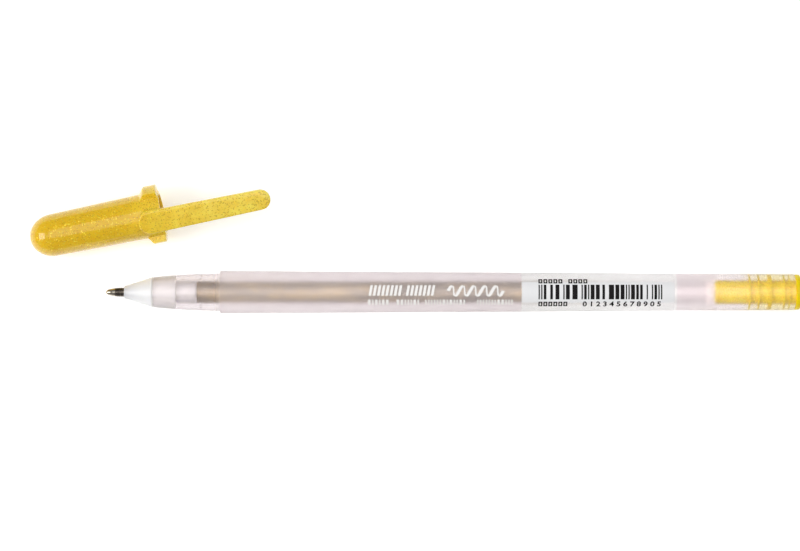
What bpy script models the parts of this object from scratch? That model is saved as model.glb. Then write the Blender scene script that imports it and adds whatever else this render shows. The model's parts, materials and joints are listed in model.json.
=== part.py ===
"""A capped gel pen, drawn uncapped: the pen lies along X with its point towards -X, and its cap lies beside it.

Run with: blender --background --python part.py
Lengths are in metres and +Z is up. Along the pen, a station is the distance from the writing point.
Along the cap, a station is the distance from the rim of its mouth, negative towards the closed end.
"""

import math

import bmesh
import bpy
from mathutils import Matrix, Vector

MM = 0.001

# Fineness of the turned shapes
CASING_STEPS = 32
INNER_STEPS = 24
MERGE = 0.000001

# Writing point
BALL_RADIUS = 0.50 * MM
BALL_CLEARANCE = 0.06 * MM
LIP_STATION = 0.34 * MM
LIP_OUTER_RADIUS = 0.55 * MM
LIP_INNER_RADIUS = 0.492 * MM
TIP_RADIUS = 0.955 * MM
TIP_SHOULDER_STATION = 3.30 * MM
TIP_REAR_STATION = 8.40 * MM
TIP_OGIVE_POWER = 2.4
TIP_FEED_RADIUS = 0.24 * MM
TIP_BORE_RADIUS = 0.55 * MM

# Nose cone, with the valve chamber inside it and two spigots behind it
CONE_FRONT_STATION = 3.85 * MM
CONE_FRONT_RADIUS = 1.31 * MM
CONE_REAR_STATION = 9.87 * MM
CONE_REAR_RADIUS = 3.14 * MM
CONE_BORE_RADIUS = 1.03 * MM
NECK_SPIGOT_RADIUS = 2.50 * MM
NECK_SPIGOT_REAR_STATION = 14.80 * MM
TUBE_SPIGOT_RADIUS = 1.82 * MM
TUBE_SPIGOT_REAR_STATION = 19.00 * MM
CHAMBER_RADIUS = 1.15 * MM
CHAMBER_FRONT_STATION = 8.60 * MM
CHAMBER_REAR_STATION = 10.60 * MM
SEAT_LENGTH = 0.70 * MM
FEED_RADIUS = 0.60 * MM
CHECK_BALL_RADIUS = 0.90 * MM
CHECK_BALL_STATION = 9.90 * MM

# Barrel, one moulding with a slimmer neck that the cap slides over
NECK_FRONT_STATION = 9.98 * MM
NECK_REAR_STATION = 24.00 * MM
NECK_FRONT_RADIUS = 3.19 * MM
NECK_REAR_RADIUS = 3.92 * MM
NECK_CURVE_POWER = 1.8
NECK_BORE_RADIUS = 2.62 * MM
NECK_BORE_REAR_STATION = 22.80 * MM
BARREL_FRONT_RADIUS = 4.47 * MM
BARREL_REAR_RADIUS = 3.765 * MM
BARREL_REAR_STATION = 144.40 * MM
BORE_FRONT_STATION = 25.50 * MM
BORE_FRONT_RADIUS = 3.10 * MM
BORE_REAR_RADIUS = 2.90 * MM
EDGE_RADIUS = 0.20 * MM

# Refill
TUBE_FRONT_STATION = 15.00 * MM
TUBE_REAR_STATION = 125.60 * MM
TUBE_RADIUS = 2.35 * MM
TUBE_BORE_RADIUS = 1.90 * MM
INK_RADIUS = 1.84 * MM
INK_FRONT_STATION = 19.20 * MM
INK_REAR_STATION = 98.00 * MM
FOLLOWER_LENGTH = 5.00 * MM
FOLLOWER_GAP = 0.20 * MM
FOLLOWER_EDGE = 0.40 * MM

# End plug
PLUG_FRONT_STATION = 127.50 * MM
PLUG_STEM_RADIUS = 2.50 * MM
PLUG_NOSE_RADIUS = 0.60 * MM
PLUG_RIB_RADIUS = 2.80 * MM
PLUG_RIB_STATIONS = (134.8 * MM, 136.7 * MM, 139.0 * MM, 142.0 * MM, 143.1 * MM)
PLUG_RIB_LENGTHS = (0.30 * MM, 0.30 * MM, 0.80 * MM, 0.30 * MM, 0.20 * MM)
PLUG_FLANGE_RADIUS = 3.70 * MM
PLUG_FLANGE_FRONT_STATION = 144.60 * MM
PLUG_REAR_STATION = 145.60 * MM
PLUG_FLANGE_ROUNDING = 0.45 * MM

# Label, stuck round the top of the barrel
LABEL_FRONT_STATION = 87.10 * MM
LABEL_REAR_STATION = 119.50 * MM
LABEL_HALF_ANGLE = math.radians(75)
LABEL_GAP = 0.05 * MM
LABEL_THICKNESS = 0.10 * MM
LABEL_STEPS = 12

# Cap: stations run from the rim
CAP_REAR_STATION = -28.30 * MM
CAP_DOME_LENGTH = 5.00 * MM
CAP_DOME_RADIUS = 4.43 * MM
CAP_RIM_RADIUS = 4.78 * MM
CAP_WALL = 0.75 * MM
CAP_DOME_WALL = 0.90 * MM
DOME_STEPS = 8
SEAL_RADIUS = 2.20 * MM
SEAL_THICKNESS = 1.60 * MM
SEAL_DIMPLE_RADIUS = 0.60 * MM
SEAL_DIMPLE_DEPTH = 0.40 * MM

# Two lugs beside the clip, which keep the cap from rolling
LUG_RADIUS = 6.15 * MM
LUG_ROOT_RADIUS = 4.40 * MM
LUG_FRONT_STATION = -0.20 * MM
LUG_REAR_STATION = -3.05 * MM
LUG_SLOPE_STATION = -4.10 * MM
LUG_HALF_ANGLE = math.radians(31)
LUG_STEPS = 8

# Clip
CLIP_ROOT_STATION = -4.90 * MM
CLIP_END_STATION = 23.00 * MM
CLIP_ROOT_WIDTH = 4.90 * MM
CLIP_END_WIDTH = 4.30 * MM
CLIP_UNDERSIDE = 5.10 * MM
CLIP_THICKNESS = 1.30 * MM
CLIP_EDGE = 0.30 * MM
CLIP_ROUND_STEPS = 10
CLIP_ROOT_LENGTH = 4.50 * MM
CLIP_ROOT_DEPTH = 0.80 * MM
CLIP_SADDLE_RADIUS = 5.08 * MM
NUB_STATION = 19.60 * MM
NUB_RADIUS = 1.30 * MM
NUB_HALF_HEIGHT = 0.85 * MM
NUB_DROP = 0.55 * MM

# Where things lie: the pen's axis, and the cap beside it
PEN_AXIS_HEIGHT = BARREL_FRONT_RADIUS
CAP_AXIS_HEIGHT = CAP_RIM_RADIUS
CAP_RIM_PLACE = Vector((11.9 * MM, 16.7 * MM))
CAP_ANGLE = math.radians(11.6)
CAP_ROLL = math.radians(17)
LINED_UP_GAP = 15.0 * MM

# Colour, roughness, metallic, transmission, for each material
FINISHES = {
    "frosted_plastic": ((0.84, 0.75, 0.77), 0.55, 0.0, 0.6),
    "milky_plastic": ((0.88, 0.88, 0.86), 0.40, 0.0, 0.4),
    "nickel_silver": ((0.55, 0.50, 0.44), 0.22, 1.0, 0.0),
    "carbide": ((0.30, 0.29, 0.28), 0.15, 1.0, 0.0),
    "steel": ((0.62, 0.62, 0.64), 0.20, 1.0, 0.0),
    "clear_plastic": ((0.90, 0.90, 0.88), 0.20, 0.0, 0.9),
    "gold_ink": ((0.45, 0.32, 0.12), 0.45, 0.5, 0.0),
    "grease": ((0.86, 0.84, 0.74), 0.35, 0.0, 0.5),
    "yellow_plastic": ((0.88, 0.63, 0.06), 0.35, 0.0, 0.3),
    "glitter_plastic": ((0.75, 0.50, 0.05), 0.30, 0.1, 0.2),
    "label_paper": ((0.86, 0.86, 0.88), 0.50, 0.0, 0.0),
    "seal_rubber": ((0.75, 0.73, 0.66), 0.70, 0.0, 0.0),
}


def clear_scene():
    for ob in list(bpy.data.objects):
        bpy.data.objects.remove(ob, do_unlink=True)


def new_collection(name):
    collection = bpy.data.collections.new(name)
    bpy.context.scene.collection.children.link(collection)
    return collection


def material(name):
    """The named material of FINISHES, made the first time it is asked for."""
    known = bpy.data.materials.get(name)
    if known:
        return known
    colour, roughness, metallic, transmission = FINISHES[name]
    mat = bpy.data.materials.new(name)
    mat.use_nodes = True
    shader = mat.node_tree.nodes["Principled BSDF"]
    shader.inputs["Base Color"].default_value = (*colour, 1)
    shader.inputs["Roughness"].default_value = roughness
    shader.inputs["Metallic"].default_value = metallic
    shader.inputs["Transmission Weight"].default_value = transmission
    return mat


def add_object(name, mesh, collection, finish, parent, location=(0, 0, 0)):
    """A mesh object in a collection, placed under its parent."""
    ob = bpy.data.objects.new(name, mesh)
    collection.objects.link(ob)
    ob.parent = parent
    ob.location = location
    mesh.materials.append(material(finish))
    return ob


def add_empty(name, collection, parent=None, location=(0, 0, 0), rotation=(0, 0, 0)):
    empty = bpy.data.objects.new(name, None)
    collection.objects.link(empty)
    empty.empty_display_size = 5 * MM
    empty.parent = parent
    empty.location = location
    empty.rotation_euler = rotation
    return empty


def arc(centre, radii, start, end, steps):
    """Points (radius, station) along an elliptical arc, from one angle to another."""
    points = []
    for i in range(steps + 1):
        angle = start + (end - start) * i / steps
        points.append((centre[0] + radii[0] * math.cos(angle), centre[1] + radii[1] * math.sin(angle)))
    return points


def turned(name, profile, finish, collection, parent, hollow=False, steps=CASING_STEPS, station=0.0):
    """A shape turned about its own Z axis, from (radius, station) points.

    The points run down the outer side, from the highest station to the lowest. A hollow shape's points
    then come back up the bore, and a solid shape starts and ends on the axis.
    """
    mesh = bpy.data.meshes.new(name)
    verts = [(radius, 0, height - station) for radius, height in profile]
    edges = [(i, i + 1) for i in range(len(verts) - 1)]
    if hollow:
        edges.append((len(verts) - 1, 0))
    mesh.from_pydata(verts, edges, [])
    ob = add_object(name, mesh, collection, finish, parent, (0, 0, station))
    screw = ob.modifiers.new("Turn", "SCREW")
    screw.axis = "Z"
    screw.angle = 2 * math.pi
    screw.steps = screw.render_steps = steps
    screw.use_merge_vertices = True
    screw.merge_threshold = MERGE
    screw.use_smooth_shade = True
    return ob


def swept(name, section, middle, half_angle, steps, finish, collection, parent):
    """A section of (radius, station) points swept about the Z axis, half_angle each side of middle."""
    bm = bmesh.new()
    verts = [bm.verts.new((radius, 0, height)) for radius, height in section]
    face = bm.faces.new(verts)
    bmesh.ops.rotate(bm, verts=verts, cent=(0, 0, 0), matrix=Matrix.Rotation(middle - half_angle, 3, "Z"))
    bmesh.ops.spin(
        bm, geom=[face], cent=(0, 0, 0), axis=(0, 0, 1), angle=2 * half_angle, steps=steps, use_duplicate=False
    )
    bmesh.ops.recalc_face_normals(bm, faces=bm.faces)
    mesh = bpy.data.meshes.new(name)
    bm.to_mesh(mesh)
    bm.free()
    return add_object(name, mesh, collection, finish, parent)


def ball(name, radius, station, finish, collection, parent):
    """A ball on the pen's axis, with its origin at its own centre."""
    bm = bmesh.new()
    bmesh.ops.create_uvsphere(bm, u_segments=20, v_segments=12, radius=radius)
    mesh = bpy.data.meshes.new(name)
    bm.to_mesh(mesh)
    bm.free()
    mesh.shade_smooth()
    return add_object(name, mesh, collection, finish, parent, (0, 0, station))


def join_by(ob, tool, operation):
    """A Boolean modifier that cuts or joins ob with a tool, which stays as a guide."""
    tool.hide_render = True
    tool.display_type = "WIRE"
    boolean = ob.modifiers.new(tool.name, "BOOLEAN")
    boolean.operation = operation
    boolean.solver = "EXACT"
    boolean.object = tool


def between(first, last, share):
    return first + (last - first) * share


def barrel_radius(station):
    share = (station - NECK_REAR_STATION) / (BARREL_REAR_STATION - NECK_REAR_STATION)
    return between(BARREL_FRONT_RADIUS, BARREL_REAR_RADIUS, share)


def make_tip(parts, pen):
    """The metal tip: an ogive with a socket for the ball, and a bore behind it for the ink."""
    outer = [(TIP_RADIUS, TIP_REAR_STATION)]
    ogive_steps = 7
    for i in range(ogive_steps + 1):
        share = 1 - i / ogive_steps
        swell = 1 - (1 - share) ** TIP_OGIVE_POWER
        station = between(LIP_STATION, TIP_SHOULDER_STATION, share)
        outer.append((between(LIP_OUTER_RADIUS, TIP_RADIUS, swell), station))
    socket = BALL_RADIUS + BALL_CLEARANCE
    bore = [
        (LIP_INNER_RADIUS, LIP_STATION),
        (socket, LIP_STATION + 0.13 * MM),
        (socket, BALL_RADIUS * 2 + BALL_CLEARANCE),
        (TIP_FEED_RADIUS, BALL_RADIUS * 2 + 0.2 * MM),
        (TIP_FEED_RADIUS, TIP_SHOULDER_STATION - 0.3 * MM),
        (TIP_BORE_RADIUS, TIP_SHOULDER_STATION),
        (TIP_BORE_RADIUS, TIP_REAR_STATION),
    ]
    turned("tip_body", outer + bore, "nickel_silver", parts, pen, hollow=True, steps=INNER_STEPS)


def make_nose_cone(parts, pen):
    """The moulded cone that holds the tip, with a valve chamber and the spigots for neck and ink tube."""
    edge = 0.15 * MM
    outer = [
        (TUBE_SPIGOT_RADIUS - edge, TUBE_SPIGOT_REAR_STATION),
        (TUBE_SPIGOT_RADIUS, TUBE_SPIGOT_REAR_STATION - 2 * edge),
        (TUBE_SPIGOT_RADIUS, NECK_SPIGOT_REAR_STATION),
        (NECK_SPIGOT_RADIUS, NECK_SPIGOT_REAR_STATION),
        (NECK_SPIGOT_RADIUS, CONE_REAR_STATION),
        (CONE_REAR_RADIUS, CONE_REAR_STATION),
        (CONE_REAR_RADIUS - 0.02 * MM, CONE_REAR_STATION - 0.25 * MM),
        (CONE_FRONT_RADIUS, CONE_FRONT_STATION + edge),
        (CONE_FRONT_RADIUS - edge, CONE_FRONT_STATION),
    ]
    bore = [
        (CONE_BORE_RADIUS, CONE_FRONT_STATION),
        (CONE_BORE_RADIUS, CHAMBER_FRONT_STATION),
        (CHAMBER_RADIUS, CHAMBER_FRONT_STATION),
        (CHAMBER_RADIUS, CHAMBER_REAR_STATION),
        (FEED_RADIUS, CHAMBER_REAR_STATION + SEAT_LENGTH),
        (FEED_RADIUS, TUBE_SPIGOT_REAR_STATION),
    ]
    turned("nose_cone", outer + bore, "milky_plastic", parts, pen, hollow=True, steps=INNER_STEPS)


def make_barrel(parts, pen):
    """The barrel: a tapered tube with a convex neck in front of a step that stops the cap."""
    outer = [
        (BARREL_REAR_RADIUS, BARREL_REAR_STATION),
        (BARREL_FRONT_RADIUS, NECK_REAR_STATION + EDGE_RADIUS),
        (BARREL_FRONT_RADIUS - EDGE_RADIUS, NECK_REAR_STATION),
    ]
    neck_steps = 6
    neck_front = NECK_FRONT_STATION + EDGE_RADIUS
    for i in range(neck_steps + 1):
        share = i / neck_steps
        radius = between(NECK_REAR_RADIUS, NECK_FRONT_RADIUS, share**NECK_CURVE_POWER)
        outer.append((radius, between(NECK_REAR_STATION, neck_front, share)))
    outer.append((NECK_FRONT_RADIUS - EDGE_RADIUS / 2, NECK_FRONT_STATION))
    bore = [
        (NECK_BORE_RADIUS, NECK_FRONT_STATION),
        (NECK_BORE_RADIUS, NECK_BORE_REAR_STATION),
        (BORE_FRONT_RADIUS, BORE_FRONT_STATION),
        (BORE_REAR_RADIUS, BARREL_REAR_STATION),
    ]
    turned("barrel", outer + bore, "frosted_plastic", parts, pen, hollow=True)


def make_refill(parts, pen):
    """The ink tube, the ink in it, and the grease plug that follows the ink as it is used."""
    tube = [
        (TUBE_RADIUS, TUBE_REAR_STATION),
        (TUBE_RADIUS, TUBE_FRONT_STATION),
        (TUBE_BORE_RADIUS, TUBE_FRONT_STATION),
        (TUBE_BORE_RADIUS, TUBE_REAR_STATION),
    ]
    turned("ink_tube", tube, "clear_plastic", parts, pen, hollow=True, steps=INNER_STEPS)
    ink = [
        (0, INK_REAR_STATION),
        (INK_RADIUS, INK_REAR_STATION),
        (INK_RADIUS, INK_FRONT_STATION),
        (0, INK_FRONT_STATION),
    ]
    turned("gel_ink", ink, "gold_ink", parts, pen, steps=INNER_STEPS)
    front = INK_REAR_STATION + FOLLOWER_GAP
    rear = front + FOLLOWER_LENGTH
    follower = [
        (0, rear),
        (INK_RADIUS - FOLLOWER_EDGE, rear),
        (INK_RADIUS, rear - FOLLOWER_EDGE),
        (INK_RADIUS, front),
        (0, front),
    ]
    turned("ink_follower", follower, "grease", parts, pen, steps=INNER_STEPS, station=front)


def make_end_plug(parts, pen):
    """The plug that closes the rear of the barrel: a flange, and a ribbed stem that grips the bore."""
    flange_centre = (PLUG_FLANGE_RADIUS - PLUG_FLANGE_ROUNDING, PLUG_REAR_STATION - PLUG_FLANGE_ROUNDING)
    rounding = (PLUG_FLANGE_ROUNDING, PLUG_FLANGE_ROUNDING)
    profile = [(0, PLUG_REAR_STATION)]
    profile += arc(flange_centre, rounding, math.pi / 2, 0, 4)
    profile += [(PLUG_FLANGE_RADIUS, PLUG_FLANGE_FRONT_STATION), (PLUG_STEM_RADIUS, PLUG_FLANGE_FRONT_STATION)]
    for station, length in reversed(list(zip(PLUG_RIB_STATIONS, PLUG_RIB_LENGTHS))):
        rear, front = station + length / 2, station - length / 2
        profile += [(PLUG_STEM_RADIUS, rear), (PLUG_RIB_RADIUS, rear)]
        profile += [(PLUG_RIB_RADIUS, front), (PLUG_STEM_RADIUS, front)]
    nose_centre = (PLUG_STEM_RADIUS - PLUG_NOSE_RADIUS, PLUG_FRONT_STATION + PLUG_NOSE_RADIUS)
    profile += arc(nose_centre, (PLUG_NOSE_RADIUS, PLUG_NOSE_RADIUS), 0, -math.pi / 2, 3)
    profile.append((0, PLUG_FRONT_STATION))
    turned("end_plug", profile, "yellow_plastic", parts, pen, steps=INNER_STEPS)


def make_label(parts, pen):
    """The label: a thin sheet that lies on the tapered barrel, over its upper side."""
    front = barrel_radius(LABEL_FRONT_STATION) + LABEL_GAP
    rear = barrel_radius(LABEL_REAR_STATION) + LABEL_GAP
    section = [
        (front, LABEL_FRONT_STATION),
        (front + LABEL_THICKNESS, LABEL_FRONT_STATION),
        (rear + LABEL_THICKNESS, LABEL_REAR_STATION),
        (rear, LABEL_REAR_STATION),
    ]
    swept("barcode_label", section, 0, LABEL_HALF_ANGLE, LABEL_STEPS, "label_paper", parts, pen)


def make_cap_shell(parts, cutters, cap):
    """The cap's shell: a closed dome, a body that widens to the mouth, and a lug on each side."""
    dome_station = CAP_REAR_STATION + CAP_DOME_LENGTH
    edge = 0.12 * MM
    outer = [
        (CAP_RIM_RADIUS - edge, 0),
        (CAP_RIM_RADIUS, -edge),
    ]
    outer += arc((0, dome_station), (CAP_DOME_RADIUS, CAP_DOME_LENGTH), 0, -math.pi / 2, DOME_STEPS)
    outer[-1] = (0, CAP_REAR_STATION)
    inner_radius = CAP_DOME_RADIUS - CAP_WALL
    inner_length = CAP_DOME_LENGTH - CAP_DOME_WALL
    bore = arc((0, dome_station), (inner_radius, inner_length), -math.pi / 2, 0, DOME_STEPS)
    bore[0] = (0, CAP_REAR_STATION + CAP_DOME_WALL)
    bore.append((CAP_RIM_RADIUS - CAP_WALL, 0))
    closing = [(CAP_RIM_RADIUS - edge, 0)]
    shell = turned("cap_shell", outer + bore + closing, "glitter_plastic", parts, cap)
    section = [
        (LUG_ROOT_RADIUS, LUG_FRONT_STATION),
        (LUG_RADIUS, LUG_FRONT_STATION),
        (LUG_RADIUS, LUG_REAR_STATION),
        (LUG_ROOT_RADIUS, LUG_SLOPE_STATION),
    ]
    for side, middle in (("left", math.pi / 2), ("right", -math.pi / 2)):
        lug = swept(
            f"lug_{side}", section, middle, LUG_HALF_ANGLE, LUG_STEPS, "glitter_plastic", cutters, cap
        )
        join_by(shell, lug, "UNION")


def make_seal(parts, cap):
    """The soft pad at the bottom of the cap that the writing point rests in."""
    rear = CAP_REAR_STATION + CAP_DOME_WALL + SEAL_THICKNESS / 2
    front = rear + SEAL_THICKNESS
    profile = [
        (0, front - SEAL_DIMPLE_DEPTH),
        (SEAL_DIMPLE_RADIUS, front),
        (SEAL_RADIUS, front),
        (SEAL_RADIUS - SEAL_THICKNESS / 2, rear),
        (0, rear),
    ]
    turned("tip_seal", profile, "seal_rubber", parts, cap, steps=INNER_STEPS)


def clip_outline():
    """The clip's outline seen from above: (across, station), half round at both ends."""
    root_half, end_half = CLIP_ROOT_WIDTH / 2, CLIP_END_WIDTH / 2
    points = []
    for i in range(CLIP_ROUND_STEPS + 1):
        angle = math.pi * i / CLIP_ROUND_STEPS
        points.append((end_half * math.cos(angle), CLIP_END_STATION - end_half + end_half * math.sin(angle)))
    for i in range(CLIP_ROUND_STEPS + 1):
        angle = math.pi + math.pi * i / CLIP_ROUND_STEPS
        points.append((root_half * math.cos(angle), CLIP_ROOT_STATION + root_half + root_half * math.sin(angle)))
    return points


def prism(name, outline, low, high, finish, collection, parent, origin):
    """An outline of (across, station) points, standing from low to high above the cap's axis."""
    bm = bmesh.new()
    verts = [bm.verts.new((low - origin[0], across, station - origin[2])) for across, station in outline]
    face = bm.faces.new(verts)
    raised = bmesh.ops.extrude_face_region(bm, geom=[face])
    moved = [item for item in raised["geom"] if isinstance(item, bmesh.types.BMVert)]
    bmesh.ops.translate(bm, verts=moved, vec=(high - low, 0, 0))
    bmesh.ops.recalc_face_normals(bm, faces=bm.faces)
    mesh = bpy.data.meshes.new(name)
    bm.to_mesh(mesh)
    bm.free()
    return add_object(name, mesh, collection, finish, parent, origin)


def make_clip(parts, cutters, cap):
    """The clip: a flat bar from a saddle-shaped root, with a nub under its end that grips the cloth."""
    root_place = (CLIP_UNDERSIDE, 0, CLIP_ROOT_STATION)
    finish = "glitter_plastic"
    top = CLIP_UNDERSIDE + CLIP_THICKNESS
    clip = prism("cap_clip", clip_outline(), CLIP_UNDERSIDE, top, finish, parts, cap, root_place)
    bevel = clip.modifiers.new("Edges", "BEVEL")
    bevel.width = CLIP_EDGE
    bevel.segments = 2
    bevel.limit_method = "ANGLE"
    bevel.angle_limit = math.radians(60)

    root_end = CLIP_ROOT_STATION + CLIP_ROOT_LENGTH
    inset = CLIP_EDGE + 0.05 * MM
    root_outline = [(x, z) for x, z in clip_outline() if z < CLIP_ROOT_STATION + CLIP_ROOT_WIDTH / 2 + MERGE]
    shrink = (CLIP_ROOT_WIDTH / 2 - inset) / (CLIP_ROOT_WIDTH / 2)
    round_centre = CLIP_ROOT_STATION + CLIP_ROOT_WIDTH / 2
    root_outline = [(x * shrink, round_centre + (z - round_centre) * shrink) for x, z in root_outline]
    root_outline += [(root_outline[-1][0], root_end), (root_outline[0][0], root_end)]
    low = CLIP_UNDERSIDE - CLIP_ROOT_DEPTH
    middle = CLIP_UNDERSIDE + CLIP_THICKNESS / 2
    root = prism("clip_root", root_outline, low, middle, finish, cutters, cap, root_place)
    join_by(clip, root, "UNION")

    bm = bmesh.new()
    bmesh.ops.create_uvsphere(bm, u_segments=16, v_segments=10, radius=NUB_RADIUS)
    bmesh.ops.scale(bm, verts=bm.verts, vec=(NUB_HALF_HEIGHT / NUB_RADIUS, 1, 1))
    mesh = bpy.data.meshes.new("clip_nub")
    bm.to_mesh(mesh)
    bm.free()
    nub_height = CLIP_UNDERSIDE - NUB_DROP + NUB_HALF_HEIGHT
    nub = add_object("clip_nub", mesh, cutters, finish, cap, (nub_height, 0, NUB_STATION))
    join_by(clip, nub, "UNION")

    bm = bmesh.new()
    length = CLIP_ROOT_LENGTH * 4
    bmesh.ops.create_cone(
        bm,
        cap_ends=True,
        segments=CASING_STEPS,
        radius1=CLIP_SADDLE_RADIUS,
        radius2=CLIP_SADDLE_RADIUS,
        depth=length,
    )
    mesh = bpy.data.meshes.new("clip_saddle")
    bm.to_mesh(mesh)
    bm.free()
    saddle_place = (0, 0, root_end + 0.1 * MM - length / 2)
    saddle = add_object("clip_saddle", mesh, cutters, finish, cap, saddle_place)
    join_by(clip, saddle, "DIFFERENCE")


def lying(angle, roll):
    """The rotation that lays a turned shape down: its axis at angle to X, and its +X side up, then rolled."""
    upright_to_lying = Matrix(((0, 0, 1), (0, -1, 0), (1, 0, 0)))
    turn = Matrix.Rotation(angle, 3, "Z") @ upright_to_lying @ Matrix.Rotation(roll, 3, "Z")
    return turn.to_euler()


def cap_swing_pole():
    """The point that the cap turns about to go from its place beside the pen to one in line with it."""
    lined_up = Vector((-LINED_UP_GAP, 0))
    shift = lined_up - CAP_RIM_PLACE
    half_turn = -CAP_ANGLE / 2
    sideways = Vector((-shift.y, shift.x))
    return (CAP_RIM_PLACE + lined_up) / 2 + sideways / (2 * math.tan(half_turn))


def stand_on_origin(root, parts):
    """Moves the whole pen so that the middle of its footprint is at the origin, with its lowest point at 0."""
    bpy.context.view_layer.update()
    depsgraph = bpy.context.evaluated_depsgraph_get()
    corners = []
    for ob in parts.objects:
        if ob.type != "MESH":
            continue
        mesh = ob.evaluated_get(depsgraph).data
        corners += [ob.matrix_world @ vert.co for vert in mesh.vertices]
    low = [min(corner[i] for corner in corners) for i in range(3)]
    high = [max(corner[i] for corner in corners) for i in range(3)]
    root.location = (-(low[0] + high[0]) / 2, -(low[1] + high[1]) / 2, -low[2])


def main():
    clear_scene()
    parts = new_collection("gel_pen")
    cutters = new_collection("cutters")
    root = add_empty("pen_root", parts)

    pen = add_empty("pen_axis", parts, root, (0, 0, PEN_AXIS_HEIGHT), lying(0, 0))
    ball("writing_ball", BALL_RADIUS, BALL_RADIUS, "carbide", parts, pen)
    make_tip(parts, pen)
    make_nose_cone(parts, pen)
    ball("check_ball", CHECK_BALL_RADIUS, CHECK_BALL_STATION, "steel", parts, pen)
    make_barrel(parts, pen)
    make_refill(parts, pen)
    make_end_plug(parts, pen)
    make_label(parts, pen)

    pole = cap_swing_pole()
    swing = add_empty("cap_swing", parts, root, (*pole, CAP_AXIS_HEIGHT))
    rim = (*(CAP_RIM_PLACE - pole), 0)
    cap = add_empty("cap_axis", parts, swing, rim, lying(CAP_ANGLE, CAP_ROLL))
    make_cap_shell(parts, cutters, cap)
    make_seal(parts, cap)
    make_clip(parts, cutters, cap)

    stand_on_origin(root, parts)


main()
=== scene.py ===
"""The looks of the gel pen: its mouldings, tip, ink, label and print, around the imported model."""

import json
import random
from math import asin, ceil, cos, hypot, pi, radians, remainder, sin, sqrt, tan

import bmesh
import bpy
from mathutils import Matrix, Vector


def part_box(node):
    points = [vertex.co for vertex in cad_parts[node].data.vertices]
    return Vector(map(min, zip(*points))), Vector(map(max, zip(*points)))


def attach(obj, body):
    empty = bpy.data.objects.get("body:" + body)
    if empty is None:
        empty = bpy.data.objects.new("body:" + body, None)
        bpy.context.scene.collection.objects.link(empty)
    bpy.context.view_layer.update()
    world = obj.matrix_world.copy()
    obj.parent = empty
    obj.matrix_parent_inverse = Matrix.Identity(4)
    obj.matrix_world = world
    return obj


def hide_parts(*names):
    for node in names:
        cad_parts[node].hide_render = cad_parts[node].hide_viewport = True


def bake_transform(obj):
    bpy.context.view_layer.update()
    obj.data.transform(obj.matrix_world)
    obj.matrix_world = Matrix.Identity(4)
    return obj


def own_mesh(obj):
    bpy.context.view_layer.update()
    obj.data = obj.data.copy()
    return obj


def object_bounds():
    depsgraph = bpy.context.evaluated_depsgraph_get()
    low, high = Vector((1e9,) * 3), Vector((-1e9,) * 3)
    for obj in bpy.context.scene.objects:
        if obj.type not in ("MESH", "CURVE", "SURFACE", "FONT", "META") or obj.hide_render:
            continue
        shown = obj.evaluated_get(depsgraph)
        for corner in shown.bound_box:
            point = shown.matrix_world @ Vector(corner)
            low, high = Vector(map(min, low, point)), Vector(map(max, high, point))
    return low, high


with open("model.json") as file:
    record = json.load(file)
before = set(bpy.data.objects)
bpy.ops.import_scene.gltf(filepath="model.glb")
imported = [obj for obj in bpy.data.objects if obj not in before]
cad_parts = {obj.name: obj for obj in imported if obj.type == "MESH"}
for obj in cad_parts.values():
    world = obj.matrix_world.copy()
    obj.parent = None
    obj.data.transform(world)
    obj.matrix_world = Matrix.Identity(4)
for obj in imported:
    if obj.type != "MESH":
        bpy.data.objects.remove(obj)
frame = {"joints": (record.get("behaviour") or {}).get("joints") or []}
cad_low, cad_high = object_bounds()

MM = 0.001

# A name that ends in _AT is a station: along the pen from its point, or along the cap from its rim.

# ---- places, from the frame

ball_low, ball_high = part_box("writing_ball")
barrel_low, barrel_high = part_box("barrel")
POINT = Vector((ball_low.x, (barrel_low.y + barrel_high.y) / 2, (barrel_low.z + barrel_high.z) / 2))


def station_of(x):
    """The station of a place along the pen: its distance from the writing point."""
    return x - POINT.x


def ends(box):
    """The stations of a box's front and rear."""
    return [station_of(corner.x) for corner in box]


def joint(name):
    return next(item for item in frame["joints"] if item["name"] == name)


# The pen lies along X. In its own frame a turned shape stands on +Z, with its +X side up.
PEN = Matrix.Translation(POINT) @ Matrix(((0, 0, 1, 0), (0, -1, 0, 0), (1, 0, 0, 0), (0, 0, 0, 1)))

# Sizes of the cap that its frame is worked out from
CLIP_UNDERSIDE = 5.10 * MM
CLIP_ROOT_AT = -4.90 * MM


def cap_frame():
    """The cap's own frame: +Z out of its mouth, +X towards its clip, and the rim's middle at the origin."""
    angle = radians(joint("cap_line_up")["range_deg"][1])
    along = Vector((cos(angle), sin(angle), 0))
    across = Vector(joint("clip_flex")["axis"]).normalized()
    outward = across.cross(along).normalized()
    root = Vector(joint("clip_flex")["pos_m"])
    rim = root - outward * CLIP_UNDERSIDE - along * CLIP_ROOT_AT
    turn = Matrix((outward, across, along)).transposed().to_4x4()
    return Matrix.Translation(rim) @ turn


CAP = cap_frame()

# ---- sizes of the pen

# Fineness: steps round a shape, along a curved outline, round an edge and in a small corner; the radius below
# which a point is on the axis; the share of a side that a fillet may take; and the corner that needs none
ROUND_STEPS = 96
CURVE_STEPS = 24
EDGE_STEPS = 8
FILLET_STEPS = 4
ON_AXIS = 1e-7
FILLET_SHARE = 0.45
NEARLY_STRAIGHT = radians(165)

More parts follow.
